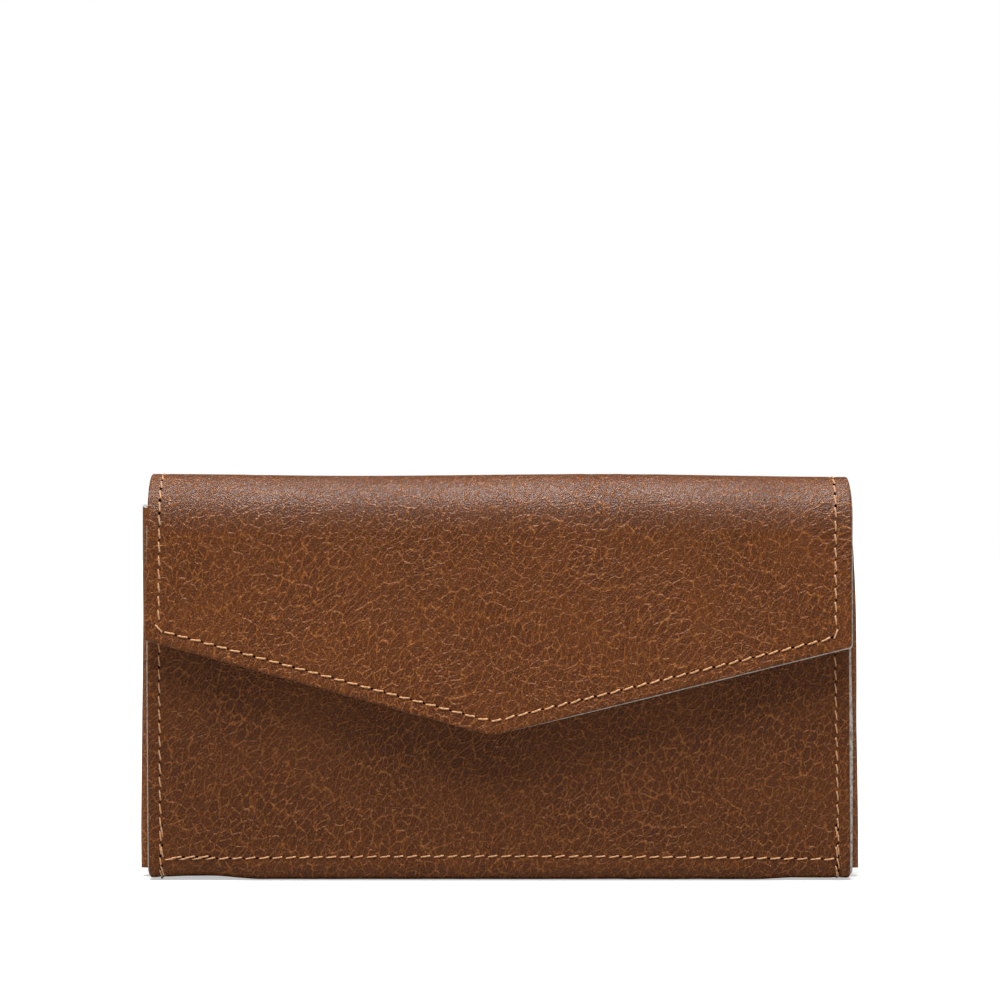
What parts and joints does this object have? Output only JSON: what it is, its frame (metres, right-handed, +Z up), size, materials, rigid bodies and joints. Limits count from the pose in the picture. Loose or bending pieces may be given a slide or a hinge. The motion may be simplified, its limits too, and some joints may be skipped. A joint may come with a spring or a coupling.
{
  "type": "long flap wallet",
  "caption": "Long leather clutch wallet with a pointed front flap, accordion sides, a zipped middle pocket and card slots.",
  "frame": {"origin": "on the floor, at the middle of the closed wallet's length and depth", "axes": "+X to the wallet's right seen from the front, +Y to the back, +Z up; the flap's face looks to -Y"},
  "size_m": [0.1956, 0.0274, 0.1097],
  "materials": {
    "outer_leather": "tan-brown full-grain cowhide, tumbled pebble grain, satin",
    "gusset_leather": "thin matching brown leather, satin",
    "lining_leather": "smooth pale grey-beige lining leather, matt",
    "pocket_leather": "smooth thin brown leather, satin",
    "zip_tape": "woven polyester tape",
    "zip_teeth": "nylon coil",
    "brass_hardware": "polished light gold",
    "snap_magnet": "nickel-plated"
  },
  "bodies": {
    "back": {"back_panel": "outer_leather", "back_lining": "lining_leather", "bottom_panel": "outer_leather", "bottom_lining": "lining_leather", "fold_leather_back": "outer_leather", "fold_lining_back": "lining_leather", "rear_gusset_left": "gusset_leather", "rear_gusset_right": "gusset_leather"},
    "fold_rear": {"fold_leather_rear": "outer_leather", "fold_lining_rear": "lining_leather"},
    "fold_top": {"fold_leather_top": "outer_leather", "fold_lining_top": "lining_leather"},
    "fold_front": {"fold_leather_front": "outer_leather", "fold_lining_front": "lining_leather"},
    "flap": {"flap_panel": "outer_leather", "flap_lining": "lining_leather", "fold_leather_flap": "outer_leather", "fold_lining_flap": "lining_leather", "snap_stud": "brass_hardware", "snap_stud_washer": "brass_hardware"},
    "pocket": {"coin_pocket_front_wall": "pocket_leather", "coin_pocket_rear_wall": "pocket_leather", "card_slot_lower": "pocket_leather", "card_slot_middle": "pocket_leather", "card_slot_upper": "pocket_leather", "zip_tape_front": "zip_tape", "zip_tape_rear": "zip_tape", "zip_teeth_front": "zip_teeth", "zip_teeth_rear": "zip_teeth", "zip_top_stop": "brass_hardware", "zip_bottom_stop": "brass_hardware"},
    "front": {"front_panel": "outer_leather", "front_lining": "lining_leather", "front_gusset_left": "gusset_leather", "front_gusset_right": "gusset_leather", "snap_socket": "brass_hardware", "snap_magnet": "snap_magnet", "snap_socket_washer": "brass_hardware"},
    "slider": {"zip_slider": "brass_hardware"},
    "pull": {"zip_pull": "brass_hardware"}
  },
  "joints": [
    {"name": "flap_lift", "type": "hinge", "parent": "back", "child": "fold_rear", "pos_m": [0, 0.01177, 0.10189], "axis": [-1, 0, 0], "range_deg": [0, 50], "deforming": ["fold_leather_back", "fold_lining_back"]},
    {"name": "fold_turn_rear", "type": "hinge", "parent": "fold_rear", "child": "fold_top", "pos_m": [0, 0.00622, 0.10764], "axis": [-1, 0, 0], "range_deg": [0, 50], "deforming": ["fold_leather_rear", "fold_lining_rear"]},
    {"name": "fold_turn_front", "type": "hinge", "parent": "fold_top", "child": "fold_front", "pos_m": [0, -0.00177, 0.1079], "axis": [-1, 0, 0], "range_deg": [0, 50], "deforming": ["fold_leather_top", "fold_lining_top"]},
    {"name": "flap_turn", "type": "hinge", "parent": "fold_front", "child": "flap", "pos_m": [0, -0.00769, 0.10253], "axis": [-1, 0, 0], "range_deg": [0, 50], "deforming": ["fold_leather_front", "fold_lining_front", "fold_leather_flap", "fold_lining_flap"]},
    {"name": "rear_compartment_open", "type": "hinge", "parent": "back", "child": "pocket", "pos_m": [0, -0.0035, 0.00115], "axis": [1, 0, 0], "range_deg": [0, 10], "deforming": ["rear_gusset_left", "rear_gusset_right"]},
    {"name": "front_compartment_open", "type": "hinge", "parent": "pocket", "child": "front", "pos_m": [0, -0.0035, 0.00115], "axis": [1, 0, 0], "range_deg": [0, 10], "deforming": ["front_gusset_left", "front_gusset_right"]},
    {"name": "zip_slide", "type": "slide", "parent": "pocket", "child": "slider", "axis": [-1, 0, 0], "range_m": [0, 0.148]},
    {"name": "zip_pull_swing", "type": "hinge", "parent": "slider", "child": "pull", "pos_m": [0.074, 0.00335, 0.0916], "axis": [0, 1, 0], "range_deg": [0, 180]}
  ],
  "couplings": [
    {"joint": "fold_turn_rear", "follows": "flap_lift", "ratio": 1},
    {"joint": "fold_turn_front", "follows": "flap_lift", "ratio": 1},
    {"joint": "flap_turn", "follows": "flap_lift", "ratio": 1},
    {"joint": "rear_compartment_open", "follows": "flap_lift", "ratio": 0.2},
    {"joint": "front_compartment_open", "follows": "flap_lift", "ratio": 0.2}
  ]
}
